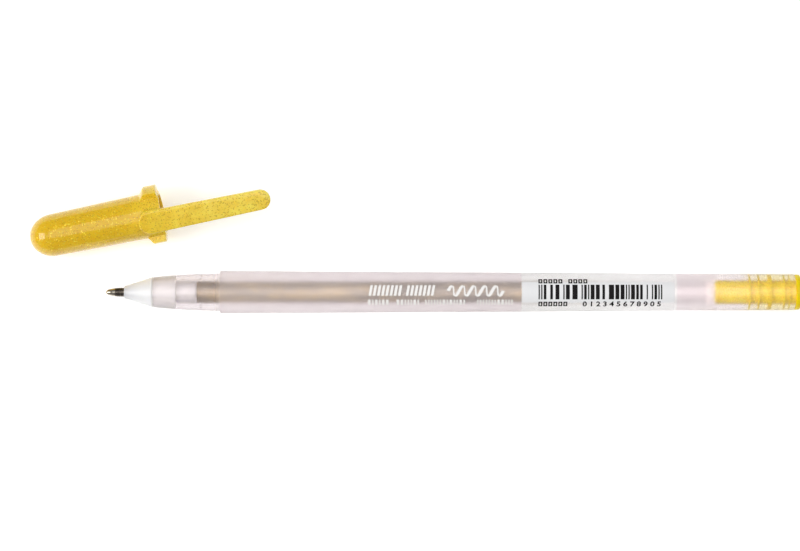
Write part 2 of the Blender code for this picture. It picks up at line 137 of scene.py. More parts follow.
# Writing end
BALL_RADIUS = (ball_high.z - ball_low.z) / 2
LIP_AT = 0.34 * MM
LIP_OUTER_RADIUS = 0.55 * MM
LIP_INNER_RADIUS = 0.492 * MM
TIP_RADIUS = 0.955 * MM
TIP_SHOULDER_AT = 3.30 * MM
TIP_REAR_AT = 8.40 * MM
TIP_OGIVE_POWER = 2.4
TIP_BORE_RADIUS = 0.55 * MM
SOCKET_RADIUS = BALL_RADIUS + 0.06 * MM
SOCKET_FRONT_AT = LIP_AT + 0.13 * MM
SOCKET_REAR_AT = 1.06 * MM
CHANNEL_RADIUS = 0.24 * MM
CHANNEL_FRONT_AT = 1.20 * MM
CHANNEL_REAR_AT = 3.00 * MM
TIP_GROOVES = (2.15 * MM, 2.60 * MM, 3.05 * MM, 3.50 * MM)
TIP_GROOVE_WIDTH = 0.16 * MM
TIP_GROOVE_DEPTH = 0.05 * MM

# The spigots, the ink and the plug's ribs are a little wider than the bore they touch, so that light passes
# between them.
CONE_FRONT_AT = 3.85 * MM
CONE_FRONT_RADIUS = 1.31 * MM
CONE_REAR_AT = 9.87 * MM
CONE_REAR_RADIUS = 3.14 * MM
CONE_BORE_RADIUS = 1.03 * MM
CONE_LIP = 0.10 * MM
CONE_RIM_LENGTH = 0.25 * MM
NECK_SPIGOT_RADIUS = 2.63 * MM
NECK_SPIGOT_REAR_AT = 14.80 * MM
TUBE_SPIGOT_RADIUS = 1.91 * MM
TUBE_SPIGOT_REAR_AT = 19.00 * MM
CHAMBER_RADIUS = 1.15 * MM
CHAMBER_FRONT_AT = 8.60 * MM
CHAMBER_REAR_AT = 10.60 * MM
SEAT_LENGTH = 0.70 * MM
FEED_RADIUS = 0.60 * MM

NECK_FRONT_AT = station_of(barrel_low.x)
NECK_REAR_AT = 24.00 * MM
NECK_FRONT_RADIUS = 3.19 * MM
NECK_REAR_RADIUS = 3.92 * MM
NECK_CURVE_POWER = 1.8
NECK_BORE_RADIUS = 2.62 * MM
NECK_BORE_REAR_AT = 22.80 * MM
GROOVE_AT = 20.00 * MM
GROOVE_DEPTH = 0.07 * MM
GROOVE_HALF_WIDTH = 0.12 * MM
BARREL_FRONT_RADIUS = (barrel_high.z - barrel_low.z) / 2
BARREL_REAR_RADIUS = 3.765 * MM
BARREL_REAR_AT = station_of(barrel_high.x)
BORE_FRONT_AT = 25.50 * MM
BORE_FRONT_RADIUS = 3.10 * MM
BORE_REAR_RADIUS = 2.90 * MM

TUBE_FRONT_AT, TUBE_REAR_AT = ends(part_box("ink_tube"))
TUBE_RADIUS = 2.35 * MM
TUBE_BORE_RADIUS = 1.90 * MM
INK_FRONT_AT, INK_REAR_AT = ends(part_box("gel_ink"))
INK_RADIUS = TUBE_BORE_RADIUS + 0.01 * MM
GREASE_FRONT_AT, GREASE_REAR_AT = ends(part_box("ink_follower"))
GREASE_DISH_DEPTH = 0.40 * MM

PLUG_FRONT_AT, PLUG_REAR_AT = ends(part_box("end_plug"))
PLUG_STEM_RADIUS = 2.50 * MM
PLUG_RIB_RADIUS = 2.96 * MM
PLUG_RIBS = ((134.8 * MM, 0.38 * MM), (136.7 * MM, 0.38 * MM), (139.0 * MM, 0.85 * MM),
             (142.0 * MM, 0.38 * MM), (143.1 * MM, 0.26 * MM))
PLUG_FLANGE_RADIUS = 3.70 * MM
PLUG_FLANGE_FRONT_AT = 144.60 * MM
PLUG_FLANGE_ROUNDING = 0.45 * MM
PLUG_NOSE_ROUNDING = 0.60 * MM

# ---- sizes of the cap, from its rim

CAP_REAR_AT = -28.30 * MM
CAP_DOME_LENGTH = 5.00 * MM
CAP_DOME_RADIUS = 4.43 * MM
CAP_RIM_RADIUS = 4.78 * MM
CAP_WALL = 0.75 * MM
CAP_DOME_WALL = 0.90 * MM
CAP_RIM_EDGE = 0.12 * MM
LUG_RADIUS = 6.15 * MM
LUG_FRONT_AT = -0.20 * MM
LUG_REAR_AT = -3.05 * MM
LUG_SLOPE_AT = -4.10 * MM
LUG_HALF_ANGLE = radians(31)
LUG_EDGE_ANGLE = radians(1.6)
LUG_FRONT_EDGE = (LUG_FRONT_AT + 0.10 * MM, LUG_FRONT_AT - 0.16 * MM)
LUG_SLOPE = (LUG_SLOPE_AT - 0.10 * MM, LUG_REAR_AT + 0.25 * MM)
LUG_SIDES = (pi / 2, -pi / 2)
CLIP_END_AT = 23.00 * MM
CLIP_ROOT_WIDTH = 4.90 * MM
CLIP_END_WIDTH = 4.30 * MM
CLIP_THICKNESS = 1.30 * MM
CLIP_EDGE = 0.38 * MM
CLIP_CROWN = 0.05 * MM
CLIP_SUNK_RADIUS = 4.30 * MM
CLIP_ROOT_END_AT = -0.40 * MM
CLIP_ROOT_FADE = 0.30 * MM
NUB_AT = 19.60 * MM
NUB_RADIUS = 1.30 * MM
NUB_DROP = 0.55 * MM
SEAL_RADIUS = 2.20 * MM
SEAL_THICKNESS = 1.60 * MM
SEAL_DIMPLE_RADIUS = 0.60 * MM
SEAL_DIMPLE_DEPTH = 0.40 * MM

# ---- label and print

LABEL_FRONT_AT, LABEL_REAR_AT = ends(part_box("barcode_label"))
LABEL_HALF_ANGLE = radians(75)
LABEL_AT = 100 * MM
WRAP_STEP = 0.25 * MM
LABEL_LIFT = 0.02 * MM
LABEL_THICKNESS = 0.03 * MM
PRINT_THICKNESS = 0.012 * MM
PANEL_SINK, BLACK_SINK = 0.004 * MM, 0.003 * MM
FILM_CORNER, PANEL_CORNER, TICK_CORNER = 0.80 * MM, 0.25 * MM, 0.10 * MM

# Places on the label: stations along it, and distances off the axis, as they look from above
PANEL_FIRST, PANEL_LAST = 87.3 * MM, 119.4 * MM
PANEL_HALF_WIDTH = 2.15 * MM
BARS_FIRST, BARS_LAST = 90.8 * MM, 116.8 * MM
BARS_MIDDLE, BARS_HALF_HEIGHT = 0.06 * MM, 1.50 * MM
BAR_MODULES = 95
HIGH_ROW, LOW_ROW = 2.27 * MM, -2.42 * MM
DIGITS_FIRST, DIGITS_LAST = 100.1 * MM, 116.6 * MM
DIGIT_HEIGHT = 1.35 * MM
SECOND_BOXES_FIRST = 97.1 * MM
BOX_PITCH, BOX_WIDTH, BOX_LINE = 1.05 * MM, 0.84 * MM, 0.27 * MM
HIGH_BOX_HEIGHT, LOW_BOX_HEIGHT = 1.05 * MM, 1.15 * MM

# Places in the white print on the barrel, in the same way
PRINT_AT = 70 * MM
BLOCK_GROUPS = ((55.1 * MM, 8), (62.9 * MM, 7))
BLOCK_ROW, BLOCK_HALF_HEIGHT, BLOCK_LEAN = 0.40 * MM, 1.10 * MM, 0.40 * MM
BLOCK_PITCH, BLOCK_WIDTH = 0.88 * MM, 0.54 * MM
WAVE_FIRST, WAVE_LAST = 71.8 * MM, 83.4 * MM
WAVE_ROW, WAVE_HEIGHT, WAVE_LEAN = 0.30 * MM, 2.30 * MM, 0.28 * MM
WAVE_THIN, WAVE_THICK = 0.16 * MM, 0.33 * MM
WAVE_CRESTS, WAVE_STEPS = 5, 16
TICK_GROUPS = ((55.0 * MM, 59.6 * MM), (61.0 * MM, 65.6 * MM), (67.0 * MM, 75.1 * MM),
               (77.9 * MM, 85.1 * MM))
TICK_ROW, TICK_HALF_HEIGHT = -2.10 * MM, 0.66 * MM
TICK_WIDTHS, TICK_GAP = (0.28 * MM, 0.28 * MM, 0.52 * MM), 0.33 * MM

# ---- the camera's place, from the point

# What is printed on the barrel is LABEL_RISE nearer to the camera than the axis is.
CAMERA_AT = 61.7 * MM
CAMERA_SIDE = 3.5 * MM
CAMERA_HEIGHT = 513.3 * MM
LABEL_RISE = 4.1 * MM


def between(first, last, share):
    return first + (last - first) * share


def barrel_radius(station):
    share = (station - NECK_REAR_AT) / (BARREL_REAR_AT - NECK_REAR_AT)
    return between(BARREL_FRONT_RADIUS, BARREL_REAR_RADIUS, share)


def cap_radius(station):
    share = station / (CAP_REAR_AT + CAP_DOME_LENGTH)
    return between(CAP_RIM_RADIUS, CAP_DOME_RADIUS, share)


# ---- materials


class Nodes:
    """A small helper that adds nodes to one material and links them."""

    def __init__(self, name):
        self.material = bpy.data.materials.new(name)
        self.material.use_nodes = True
        self.tree = self.material.node_tree
        self.shader = self.tree.nodes["Principled BSDF"]
        self.output = self.tree.nodes["Material Output"]

    def add(self, kind, **values):
        node = self.tree.nodes.new(kind)
        for key, value in values.items():
            setattr(node, key, value)
        return node

    def link(self, source, target):
        self.tree.links.new(source, target)

    def place(self):
        """Object coordinates: metres in the pen's own place, so that grain keeps its real size."""
        return self.add("ShaderNodeTexCoord").outputs["Object"]

    def noise(self, scale, detail=2, stretch=(1, 1, 1)):
        """Noise of scale features a metre, stretched along the axes."""
        mapping = self.add("ShaderNodeMapping")
        mapping.inputs["Scale"].default_value = stretch
        self.link(self.place(), mapping.inputs["Vector"])
        noise = self.add("ShaderNodeTexNoise")
        noise.inputs["Scale"].default_value = scale
        noise.inputs["Detail"].default_value = detail
        noise.inputs["Roughness"].default_value = 0.6
        self.link(mapping.outputs["Vector"], noise.inputs["Vector"])
        return noise.outputs["Fac"]

    def ramp(self, source, stops):
        """A colour ramp of (position, colour) stops."""
        ramp = self.add("ShaderNodeValToRGB")
        elements = ramp.color_ramp.elements
        while len(elements) < len(stops):
            elements.new(0.5)
        for element, (position, colour) in zip(elements, stops):
            element.position = position
            element.color = (*colour, 1)
        self.link(source, ramp.inputs["Fac"])
        return ramp.outputs["Color"]

    def shades(self, source, first, second, low=0.3, high=0.7):
        """A colour from first to second, as source goes from low to high."""
        return self.ramp(source, ((low, first), (high, second)))

    def spread(self, source, low, high, from_low=0.0, from_high=1.0):
        """A number between low and high, as source goes from from_low to from_high."""
        node = self.add("ShaderNodeMapRange")
        node.inputs["From Min"].default_value = from_low
        node.inputs["From Max"].default_value = from_high
        node.inputs["To Min"].default_value = low
        node.inputs["To Max"].default_value = high
        self.link(source, node.inputs["Value"])
        return node.outputs["Result"]

    def sum(self, first, second):
        node = self.add("ShaderNodeMath", operation="ADD")
        self.link(first, node.inputs[0])
        self.link(second, node.inputs[1])
        return node.outputs["Value"]

    def mix(self, share, first, second):
        """A mix of two colours; share, first and second are sockets or values."""
        node = self.add("ShaderNodeMix", data_type="RGBA")
        for value, socket in ((share, node.inputs[0]), (first, node.inputs[6]), (second, node.inputs[7])):
            if isinstance(value, bpy.types.NodeSocket):
                self.link(value, socket)
            else:
                socket.default_value = value if isinstance(value, float) else (*value, 1)
        return node.outputs[2]

    def along(self):
        """The coordinate along X, in metres."""
        split = self.add("ShaderNodeSeparateXYZ")
        self.link(self.place(), split.inputs["Vector"])
        return split.outputs["X"]

    def bump(self, height, strength, distance):
        node = self.add("ShaderNodeBump")
        node.inputs["Strength"].default_value = strength
        node.inputs["Distance"].default_value = distance
        self.link(height, node.inputs["Height"])
        self.link(node.outputs["Normal"], self.shader.inputs["Normal"])

    def colour(self, source):
        self.link(source, self.shader.inputs["Base Color"])

    def rough(self, source):
        self.link(source, self.shader.inputs["Roughness"])

    def set(self, **values):
        """Plain values on the shader's own sockets."""
        for key, value in values.items():
            self.shader.inputs[key.replace("_", " ")].default_value = value


def let_lamps_through(n, share):
    """Light from the lamps passes through this plastic, dimmed to share, so what it holds isn't left dark."""
    path = n.add("ShaderNodeLightPath")
    clear = n.add("ShaderNodeBsdfTransparent")
    clear.inputs["Color"].default_value = (*share, 1)
    mix = n.add("ShaderNodeMixShader")
    n.link(path.outputs["Is Shadow Ray"], mix.inputs[0])
    n.link(n.shader.outputs["BSDF"], mix.inputs[1])
    n.link(clear.outputs["BSDF"], mix.inputs[2])
    n.link(mix.outputs["Shader"], n.output.inputs["Surface"])


def frosted_plastic():
    """The barrel's outer face: a fine matt texture on faintly pink, hazy plastic.

    It is whiter under the label's film; where the plug is pressed in it is clearer, with a painted yellow
    glow.
    """
    n = Nodes("frosted_plastic")
    cloud = n.noise(260, detail=4)
    bare = n.shades(cloud, (0.90, 0.825, 0.84), (0.94, 0.87, 0.88))
    filmed = n.shades(cloud, (0.985, 0.975, 0.965), (1.0, 0.995, 0.985))
    x = n.along()
    soft = 0.1 * MM
    label_start, label_end = POINT.x + LABEL_FRONT_AT, POINT.x + LABEL_REAR_AT
    under_film = n.sum(n.spread(x, 0.0, 1.0, label_start - soft, label_start + soft),
                       n.spread(x, 0.0, -1.0, label_end - soft, label_end + soft))
    plug_start, ribs_start = POINT.x + PLUG_FRONT_AT, POINT.x + PLUG_RIBS[0][0]
    over_plug = n.spread(x, 0.0, 1.0, plug_start - 0.4 * MM, plug_start + 0.6 * MM)
    # Painted light: near the plug's ribs the colour turns yellow, a painted glow of the plug seen through it.
    painted_plug_glow = n.spread(x, 0.0, 0.75, ribs_start - 2 * MM, ribs_start + 3 * MM)
    n.colour(n.mix(painted_plug_glow, n.mix(under_film, bare, filmed), (0.99, 0.87, 0.42)))
    neck_end = POINT.x + NECK_REAR_AT
    grain = n.spread(n.noise(9000), -0.04, 0.04)
    matt = n.sum(grain, n.spread(x, 0.25, 0.44, neck_end - MM, neck_end + MM))
    n.rough(n.sum(matt, n.spread(over_plug, 0.0, -0.16)))
    n.bump(n.noise(14000), 0.10, 0.01 * MM)
    clarity = n.sum(n.spread(over_plug, 0.0, 0.07), n.spread(under_film, 0.0, 0.03))
    n.link(n.sum(n.spread(x, 0.84, 0.79, neck_end - MM, neck_end + MM), clarity),
           n.shader.inputs["Transmission Weight"])
    n.set(IOR=1.49)
    let_lamps_through(n, (0.93, 0.90, 0.905))
    return n.material


def bore_plastic():
    """The barrel's bore: the same plastic, smoother."""
    n = Nodes("bore_plastic")
    streaks = n.noise(900, detail=3, stretch=(0.05, 1, 1))
    n.colour(n.shades(streaks, (0.96, 0.93, 0.935), (0.99, 0.97, 0.975)))
    n.rough(n.spread(streaks, 0.10, 0.18))
    n.set(IOR=1.49, Transmission_Weight=1.0)
    let_lamps_through(n, (0.97, 0.96, 0.96))
    return n.material


def milky_plastic():
    """The nose cone: unpainted milky plastic that light sinks into, with painted shade on its spigot in the
    neck.
    """
    n = Nodes("milky_plastic")
    cloud = n.noise(500, detail=3)
    cone = n.shades(cloud, (0.95, 0.94, 0.92), (0.98, 0.97, 0.95))
    # Painted shade: the spigot, inside the neck, takes a darker copy of the cone's colour.
    shaded_spigot = n.shades(cloud, (0.79, 0.785, 0.765), (0.84, 0.835, 0.815))
    step = POINT.x + CONE_REAR_AT
    n.colour(n.mix(n.spread(n.along(), 0.0, 1.0, step - 0.05 * MM, step + 0.05 * MM), cone, shaded_spigot))
    n.rough(n.spread(n.noise(4000), 0.34, 0.46))
    n.bump(n.noise(6000), 0.08, 0.02 * MM)
    n.set(IOR=1.5, Subsurface_Weight=0.8, Subsurface_Radius=(1.0, 1.0, 0.9), Subsurface_Scale=2.5 * MM,
          Specular_IOR_Level=0.8)
    return n.material


def tip_metal():
    """The tip: turned nickel silver with fine lathe lines round it, its rear painted dark as a reflection."""
    n = Nodes("tip_metal")
    lines = n.noise(9000, stretch=(1, 0.02, 0.02))
    polished = n.shades(lines, (0.46, 0.40, 0.31), (0.58, 0.53, 0.46))
    # Painted reflection: behind the first groove the metal is near black, as if reflecting dark surroundings.
    rough_rear_painted_dark = n.shades(lines, (0.045, 0.036, 0.028), (0.20, 0.17, 0.145), 0.35, 0.65)
    step = POINT.x + TIP_GROOVES[0] - 0.25 * MM
    behind = n.spread(n.along(), 0.0, 1.0, step - 0.1 * MM, step + 0.1 * MM)
    n.colour(n.mix(behind, polished, rough_rear_painted_dark))
    n.rough(n.sum(n.spread(lines, 0.10, 0.20), n.spread(behind, 0.0, 0.08)))
    n.bump(lines, 0.25, 0.01 * MM)
    n.set(Metallic=1.0)
    return n.material


def ball_metal():
    """The writing ball: ground carbide, wet with gold ink in places."""
    n = Nodes("ball_metal")
    patches = n.noise(2500, detail=3)
    n.colour(n.shades(patches, (0.30, 0.28, 0.25), (0.52, 0.38, 0.15), 0.45, 0.6))
    n.rough(n.spread(patches, 0.12, 0.35))
    n.set(Metallic=1.0)
    return n.material


def valve_metal():
    """The valve ball: polished steel with the faintest scuffs."""
    n = Nodes("valve_metal")
    scuffs = n.noise(6000, detail=4)
    n.colour(n.shades(scuffs, (0.60, 0.60, 0.62), (0.70, 0.70, 0.71)))
    n.rough(n.spread(scuffs, 0.08, 0.20))
    n.set(Metallic=1.0)
    return n.material


def tube_plastic():
    """The ink tube: clear, with faint lines along it from the die."""
    n = Nodes("tube_plastic")
    lines = n.noise(1500, stretch=(0.02, 1, 1))
    n.colour(n.shades(lines, (0.95, 0.95, 0.95), (0.99, 0.99, 0.985)))
    n.rough(n.spread(lines, 0.05, 0.14))
    n.set(IOR=1.49, Transmission_Weight=1.0)
    let_lamps_through(n, (0.955, 0.95, 0.95))
    return n.material


def gold_ink():
    """The ink: pigment flakes in slow streaks along the tube, with golden patches, and painted shade in the
    neck.
    """
    n = Nodes("gold_ink")
    streaks = n.noise(520, detail=4, stretch=(0.16, 1, 1))
    patches = n.spread(n.noise(460, stretch=(0.6, 1, 1)), 0.0, 0.55, 0.48, 0.66)
    flakes = n.noise(14000)
    base = n.shades(streaks, (0.25, 0.215, 0.175), (0.52, 0.43, 0.29), 0.34, 0.66)
    golden = n.mix(patches, base, (0.74, 0.55, 0.25))
    shining = n.mix(n.spread(flakes, 0.0, 0.30, 0.45, 0.7), golden, (0.68, 0.53, 0.28))
    x = n.along()
    front, neck_end = POINT.x + INK_FRONT_AT, POINT.x + NECK_REAR_AT
    # Painted shade: the ink turns dark brown inside the neck, and darker still at its front end.
    painted_shade = n.sum(n.spread(x, 0.30, 0.0, front + 0.4 * MM, front + 1.2 * MM),
                    n.spread(x, 0.40, 0.0, neck_end - 0.5 * MM, neck_end))
    n.colour(n.mix(painted_shade, shining, (0.20, 0.13, 0.05)))
    n.rough(n.spread(flakes, 0.45, 0.62))
    n.bump(flakes, 0.10, 0.02 * MM)
    n.set(Metallic=0.45)
    return n.material


def follower_grease():
    """The grease behind the ink: cloudy and pale, with a stain of ink in it."""
    n = Nodes("follower_grease")
    stain = n.noise(900, detail=4)
    n.colour(n.shades(stain, (0.80, 0.76, 0.62), (0.90, 0.88, 0.80), 0.4, 0.75))
    n.rough(n.spread(stain, 0.15, 0.35))
    n.set(IOR=1.45, Subsurface_Weight=0.5, Subsurface_Radius=(1.0, 0.9, 0.7), Subsurface_Scale=1.5 * MM)
    return n.material


def yellow_plastic():
    """The end plug: translucent golden yellow."""
    n = Nodes("yellow_plastic")
    cloud = n.noise(400, detail=3)
    n.colour(n.shades(cloud, (0.84, 0.635, 0.003), (0.89, 0.71, 0.006)))
    n.rough(n.spread(n.noise(3000), 0.30, 0.42))
    n.set(IOR=1.5, Subsurface_Weight=0.5, Subsurface_Radius=(1.0, 0.7, 0.15), Subsurface_Scale=0.8 * MM,
          Specular_IOR_Level=0.25)
    return n.material


def glitter_gold():
    """The cap's gold plastic: translucent, full of fine flakes that are each tilted their own way.

    Some cells of a fine pattern are flakes. Deeper, darker ones show more towards the end of the clip. The
    plastic itself goes from a deep gold at the dome to yellow at the clip's end, where there is less of it.
    """
    n = Nodes("glitter_gold")
    cells = n.add("ShaderNodeTexVoronoi")
    cells.inputs["Scale"].default_value = 4800
    n.link(n.place(), cells.inputs["Vector"])
    split = n.add("ShaderNodeSeparateColor")
    n.link(cells.outputs["Color"], split.inputs["Color"])
    rim = CAP.translation.x
    length = n.spread(n.along(), 0.0, 1.0, rim + CAP_REAR_AT, rim + CLIP_END_AT)
    plastic = n.ramp(length, ((0.0, (0.79, 0.495, 0.010)), (0.40, (0.82, 0.54, 0.014)),
                              (0.56, (0.93, 0.71, 0.06)), (0.75, (1.0, 0.83, 0.12))))
    cloud = n.spread(n.noise(420, detail=3), 0.0, 0.5, 0.3, 0.7)
    base = n.mix(cloud, plastic, (0.70, 0.41, 0.008))
    flake = n.spread(split.outputs[0], 0.0, 1.0, 0.90, 0.92)
    deep = n.spread(n.sum(split.outputs[1], n.spread(length, 0.08, 0.18)), 0.0, 0.6, 1.0, 1.04)
    n.colour(n.mix(flake, n.mix(deep, base, (0.46, 0.27, 0.012)), (1.0, 0.72, 0.06)))
    n.rough(n.spread(split.outputs[2], 0.22, 0.36))
    n.link(n.spread(flake, 0.0, 0.35), n.shader.inputs["Metallic"])

    # Each flake's own tilt, added to the surface's normal
    tilt = n.add("ShaderNodeVectorMath", operation="SUBTRACT")
    n.link(cells.outputs["Color"], tilt.inputs[0])
    tilt.inputs[1].default_value = (0.5, 0.5, 0.5)
    scaled = n.add("ShaderNodeVectorMath", operation="SCALE")
    n.link(tilt.outputs["Vector"], scaled.inputs[0])
    n.link(n.spread(flake, 0.01, 0.45), scaled.inputs["Scale"])
    surface = n.add("ShaderNodeNewGeometry")
    total = n.add("ShaderNodeVectorMath", operation="ADD")
    n.link(surface.outputs["Normal"], total.inputs[0])
    n.link(scaled.outputs["Vector"], total.inputs[1])
    unit = n.add("ShaderNodeVectorMath", operation="NORMALIZE")
    n.link(total.outputs["Vector"], unit.inputs[0])
    n.link(unit.outputs["Vector"], n.shader.inputs["Normal"])
    n.set(IOR=1.45, Specular_IOR_Level=0.2, Subsurface_Weight=0.45, Subsurface_Radius=(1.0, 0.65, 0.10),
          Subsurface_Scale=1.0 * MM, Coat_Weight=0.7, Coat_Roughness=0.04)
    return n.material


def seal_rubber():
    """The seal in the cap: matt rubber with a fine bloom."""
    n = Nodes("seal_rubber")
    bloom = n.noise(2500, detail=4)
    n.colour(n.shades(bloom, (0.70, 0.68, 0.60), (0.80, 0.78, 0.72)))
    n.rough(n.spread(bloom, 0.60, 0.80))
    n.bump(bloom, 0.2, 0.03 * MM)
    return n.material


def label_film():
    """The label's clear film: a glossy veil, a little whiter than the barrel."""
    n = Nodes("label_film")
    ripple = n.noise(500)
    n.colour(n.shades(ripple, (0.96, 0.96, 0.955), (1.0, 1.0, 0.995)))
    n.rough(n.spread(ripple, 0.24, 0.34))
    n.bump(ripple, 0.05, 0.02 * MM)
    n.link(n.spread(n.noise(1200, detail=3), 0.02, 0.05), n.shader.inputs["Alpha"])
    n.set(IOR=1.45)
    return n.material


def print_ink(name, first, second, roughness, gloss=0.5, thin=False):
    """A layer of printing ink, with the faint mottle of a screen. A thin one lets lamps' light through."""
    n = Nodes(name)
    mottle = n.noise(7000, detail=3)
    n.colour(n.shades(mottle, first, second))
    n.rough(n.spread(mottle, roughness - 0.06, roughness + 0.06))
    n.bump(mottle, 0.10, 0.01 * MM)
    n.set(Specular_IOR_Level=gloss)
    if thin:
        let_lamps_through(n, (0.97, 0.97, 0.97))
    return n.material


# ---- mesh tools


def shown(name, data):
    """A new object in the scene."""
    ob = bpy.data.objects.new(name, data)
    bpy.context.scene.collection.objects.link(ob)
    return ob


def finish_mesh(name, bm, materials, place, sharp=35):
    """An object from a bmesh, shaded smooth but for its sharp edges."""
    bmesh.ops.recalc_face_normals(bm, faces=bm.faces)
    mesh = bpy.data.meshes.new(name)
    bm.to_mesh(mesh)
    bm.free()
    mesh.transform(place)
    mesh.shade_smooth()
    mesh.set_sharp_from_angle(angle=radians(sharp))
    for mat in materials:
        mesh.materials.append(mat)
    return shown(name, mesh)


def filleted(points, radius, closed=False):
    """The outline with each corner rounded by a small arc; corners on the axis stay sharp."""
    result = []
    count = len(points)
    for i, (r, z) in enumerate(points):
        inside = closed or 0 < i < count - 1
        if not inside or r <= 0:
            result.append((r, z))
            continue
        here = Vector((r, z))
        before = Vector(points[i - 1]) - here
        after = Vector(points[(i + 1) % count]) - here
        turn = before.angle(after, pi)
        if turn > NEARLY_STRAIGHT:
            result.append((r, z))
            continue
        reach = min(radius / tan(turn / 2), before.length * FILLET_SHARE, after.length * FILLET_SHARE)
        first, last = here + before.normalized() * reach, here + after.normalized() * reach
        for step in range(FILLET_STEPS + 1):
            t = step / FILLET_STEPS
            point = first * (1 - t) ** 2 + here * 2 * t * (1 - t) + last * t * t
            result.append(tuple(point))
    return result


def bridge(bm, rings, closed=False):
    """Faces between rings of points that follow one another; a ring on the axis is a single point."""
    count = max(len(ring) for ring in rings)
    pairs = list(zip(rings, rings[1:]))
    if closed:
        pairs.append((rings[-1], rings[0]))
    for first, last in pairs:
        for i in range(count):
            j = (i + 1) % count
            corners = (first[i % len(first)], first[j % len(first)], last[j % len(last)], last[i % len(last)])
            unique = list(dict.fromkeys(corners))
            if len(unique) > 2:
                bm.faces.new(unique)


def turned(name, profile, place, materials, fillet, hollow=False):
    """A shape turned about Z from (radius, station) points, with small rounded corners.

    A hollow shape's outline is closed. A second material goes to the faces that look at the axis.
    """
    bm = bmesh.new()
    rings = []
    for r, z in filleted(profile, fillet, closed=hollow):
        if r < ON_AXIS:
            rings.append([bm.verts.new((0, 0, z))])
        else:
            turn = [2 * pi * i / ROUND_STEPS for i in range(ROUND_STEPS)]
            rings.append([bm.verts.new((r * cos(a), r * sin(a), z)) for a in turn])
    bridge(bm, rings, closed=hollow)
    bmesh.ops.recalc_face_normals(bm, faces=bm.faces)
    if len(materials) > 1:
        for face in bm.faces:
            middle = face.calc_center_median()
            if face.normal.x * middle.x + face.normal.y * middle.y < -0.2 * middle.xy.length:
                face.material_index = 1
    return finish_mesh(name, bm, materials, place)


def arc(r, z, width, height, start, end, steps):
    """Points (radius, station) along an elliptical arc about (r, z)."""
    points = []
    for i in range(steps + 1):
        angle = start + (end - start) * i / steps
        points.append((r + width * cos(angle), z + height * sin(angle)))
    return points


# ---- pieces of the pen


def keep(piece, body, slot, *nodes):
    """The piece moves with a body and stands for its CAD nodes. Its slot is not used."""
    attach(piece, body)
    if nodes:
        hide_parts(*nodes)


def make_barrel():
    outer = [(BARREL_REAR_RADIUS, BARREL_REAR_AT), (BARREL_FRONT_RADIUS, NECK_REAR_AT)]
    for i in range(CURVE_STEPS + 1):
        share = i / CURVE_STEPS
        radius = between(NECK_REAR_RADIUS, NECK_FRONT_RADIUS, share ** NECK_CURVE_POWER)
        outer.append((radius, between(NECK_REAR_AT, NECK_FRONT_AT, share)))
    bore = [(NECK_BORE_RADIUS, NECK_FRONT_AT), (NECK_BORE_RADIUS, GROOVE_AT - GROOVE_HALF_WIDTH),
            (NECK_BORE_RADIUS + GROOVE_DEPTH, GROOVE_AT),
            (NECK_BORE_RADIUS, GROOVE_AT + GROOVE_HALF_WIDTH),
            (NECK_BORE_RADIUS, NECK_BORE_REAR_AT),
            (BORE_FRONT_RADIUS, BORE_FRONT_AT), (BORE_REAR_RADIUS, BARREL_REAR_AT)]
    piece = turned("barrel_moulding", outer + bore, PEN, [frosted_plastic(), bore_plastic()],
                   fillet=0.15 * MM, hollow=True)
    keep(piece, "pen", "barrel_plastic", "barrel")


def make_nose_cone():
    outer = [(TUBE_SPIGOT_RADIUS, TUBE_SPIGOT_REAR_AT), (TUBE_SPIGOT_RADIUS, NECK_SPIGOT_REAR_AT),
             (NECK_SPIGOT_RADIUS, NECK_SPIGOT_REAR_AT), (NECK_SPIGOT_RADIUS, CONE_REAR_AT),
             (CONE_REAR_RADIUS, CONE_REAR_AT), (CONE_REAR_RADIUS, CONE_REAR_AT - CONE_RIM_LENGTH),
             (CONE_FRONT_RADIUS, CONE_FRONT_AT + CONE_LIP),
             (CONE_FRONT_RADIUS - CONE_LIP, CONE_FRONT_AT)]
    bore = [(CONE_BORE_RADIUS, CONE_FRONT_AT), (CONE_BORE_RADIUS, CHAMBER_FRONT_AT),
            (CHAMBER_RADIUS, CHAMBER_FRONT_AT), (CHAMBER_RADIUS, CHAMBER_REAR_AT),
            (FEED_RADIUS, CHAMBER_REAR_AT + SEAT_LENGTH), (FEED_RADIUS, TUBE_SPIGOT_REAR_AT)]
    piece = turned("nose_cone_moulding", outer + bore, PEN, [milky_plastic()], fillet=0.10 * MM, hollow=True)
    keep(piece, "pen", "cone_plastic", "nose_cone")


def tip_radius(station):
    """The tip's outer radius: its rounded nose ends at the shoulder."""
    share = min((station - LIP_AT) / (TIP_SHOULDER_AT - LIP_AT), 1)
    return between(LIP_OUTER_RADIUS, TIP_RADIUS, 1 - (1 - share) ** TIP_OGIVE_POWER)


def make_tip():
    """The tip, with a few turned grooves that each take the place of the outline's points within them."""
    outer = [(TIP_RADIUS, TIP_REAR_AT)]
    for i in range(CURVE_STEPS):
        station = between(TIP_SHOULDER_AT, LIP_AT, i / CURVE_STEPS)
        outer.append((tip_radius(station), station))
    outer.append((LIP_OUTER_RADIUS, LIP_AT))
    for station in TIP_GROOVES:
        radius = tip_radius(station)
        rear, front = station + TIP_GROOVE_WIDTH / 2, station - TIP_GROOVE_WIDTH / 2
        behind = [point for point in outer if point[1] > rear]
        ahead = [point for point in outer if point[1] < front]
        outer = behind + [(radius, rear), (radius - TIP_GROOVE_DEPTH, station), (radius, front)] + ahead
    bore = [(LIP_INNER_RADIUS, LIP_AT), (SOCKET_RADIUS, SOCKET_FRONT_AT),
            (SOCKET_RADIUS, SOCKET_REAR_AT), (CHANNEL_RADIUS, CHANNEL_FRONT_AT),
            (CHANNEL_RADIUS, CHANNEL_REAR_AT), (TIP_BORE_RADIUS, TIP_SHOULDER_AT),
            (TIP_BORE_RADIUS, TIP_REAR_AT)]
    piece = turned("metal_tip", outer + bore, PEN, [tip_metal()], fillet=0.03 * MM, hollow=True)
    keep(piece, "pen", "tip_metal", "tip_body")


